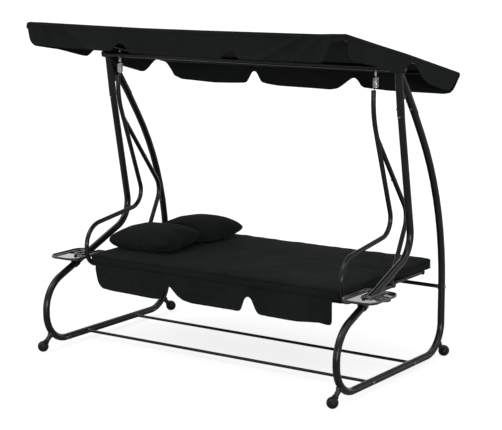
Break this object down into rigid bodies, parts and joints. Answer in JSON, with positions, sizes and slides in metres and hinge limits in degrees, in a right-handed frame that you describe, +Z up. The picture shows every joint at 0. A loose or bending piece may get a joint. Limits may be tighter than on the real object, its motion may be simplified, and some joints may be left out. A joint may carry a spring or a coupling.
{
  "type": "canopy swing bench",
  "caption": "Garden swing bed on a bent tube stand, hung on springs, with a fold-up backrest, flat cushions, loose pillows, side trays and a tilting canopy.",
  "frame": {"origin": "on the floor, in the middle of the four ball feet", "axes": "+X along the bench, to the right of a person facing its front; +Y towards the back; +Z up"},
  "size_m": [2.09, 1.2086, 1.7923],
  "materials": {
    "black_paint": "gloss",
    "zinc": "bright zinc",
    "black_plastic": "satin",
    "tray_plastic": "gloss",
    "sling": "open mesh weave",
    "canopy_cloth": "plain weave, coated",
    "cushion_cloth": "plain weave"
  },
  "bodies": {
    "stand": {"front_leg_left": "black_paint", "front_leg_right": "black_paint", "rear_leg_left": "black_paint", "rear_leg_right": "black_paint", "bottom_rail_left": "black_paint", "bottom_rail_right": "black_paint", "top_bracket_left": "black_paint", "top_bracket_right": "black_paint", "crossbar": "black_paint", "stretcher_front": "black_paint", "stretcher_rear": "black_paint", "rear_bar": "black_paint", "foot_stub_front_left": "black_paint", "foot_stub_front_right": "black_paint", "ball_foot_front_left": "black_plastic", "ball_foot_front_right": "black_plastic", "foot_stub_rear_left": "black_paint", "foot_stub_rear_right": "black_paint", "ball_foot_rear_left": "black_plastic", "ball_foot_rear_right": "black_plastic", "tray_left": "tray_plastic", "tray_right": "tray_plastic", "tray_clamp_left": "black_plastic", "tray_clamp_right": "black_plastic", "eye_bolt_left": "zinc", "eye_bolt_right": "zinc"},
    "hanger": {"spring_left": "zinc", "spring_right": "zinc", "spring_hook_top_left": "zinc", "spring_hook_top_right": "zinc"},
    "seat": {"hanger_arm_left": "black_paint", "hanger_arm_right": "black_paint", "back_strut_left": "black_paint", "back_strut_right": "black_paint", "hinge_bolt_left": "zinc", "hinge_bolt_right": "zinc", "seat_front_rail": "black_paint", "seat_rear_rail": "black_paint", "seat_sling": "sling", "seat_cushion": "cushion_cloth", "seat_skirt": "canopy_cloth", "spring_hook_bottom_left": "zinc", "spring_hook_bottom_right": "zinc"},
    "loose_pillow": {"pillow_front": "cushion_cloth"},
    "backrest": {"backrest_side_rail_left": "black_paint", "backrest_side_rail_right": "black_paint", "backrest_lower_rail": "black_paint", "backrest_top_rail": "black_paint", "backrest_sling": "sling", "backrest_cushion": "cushion_cloth", "pillow_rear": "cushion_cloth"},
    "canopy": {"canopy_front_bar": "black_paint", "canopy_rear_bar": "black_paint", "canopy_side_bar_left": "black_paint", "canopy_side_bar_right": "black_paint", "canopy_pivot_plate_left": "black_paint", "canopy_pivot_plate_right": "black_paint", "canopy_fabric": "canopy_cloth"},
    "knob_left": {"canopy_knob_left": "black_plastic"},
    "knob_right": {"canopy_knob_right": "black_plastic"}
  },
  "joints": [
    {"name": "seat_swing", "type": "hinge", "parent": "stand", "child": "hanger", "pos_m": [0, -0.002, 1.5595], "axis": [1, 0, 0], "range_deg": [-15, 15]},
    {"name": "seat_bounce", "type": "slide", "parent": "hanger", "child": "seat", "axis": [0, 0, 1], "range_m": [-0.012, 0], "stiffness_N_per_m": 60000, "springref_m": 0.016, "deforming": ["spring_left", "spring_right"]},
    {"name": "backrest_recline", "type": "hinge", "parent": "seat", "child": "backrest", "pos_m": [0, 0.187, 0.447], "axis": [1, 0, 0], "range_deg": [0, 65]},
    {"name": "pillow_push", "type": "slide", "parent": "seat", "child": "loose_pillow", "axis": [0, 1, 0], "range_m": [-0.15, 0]},
    {"name": "canopy_tilt", "type": "hinge", "parent": "stand", "child": "canopy", "pos_m": [0, 0.03, 1.592], "axis": [1, 0, 0], "range_deg": [-15, 38]},
    {"name": "knob_left_turn", "type": "hinge", "parent": "canopy", "child": "knob_left", "pos_m": [-0.962, 0.03, 1.592], "axis": [1, 0, 0], "continuous": true},
    {"name": "knob_right_turn", "type": "hinge", "parent": "canopy", "child": "knob_right", "pos_m": [0.962, 0.03, 1.592], "axis": [1, 0, 0], "continuous": true}
  ],
  "couplings": [
    {"joint": "pillow_push", "follows": "backrest_recline", "m_per_rad": -0.13}
  ]
}
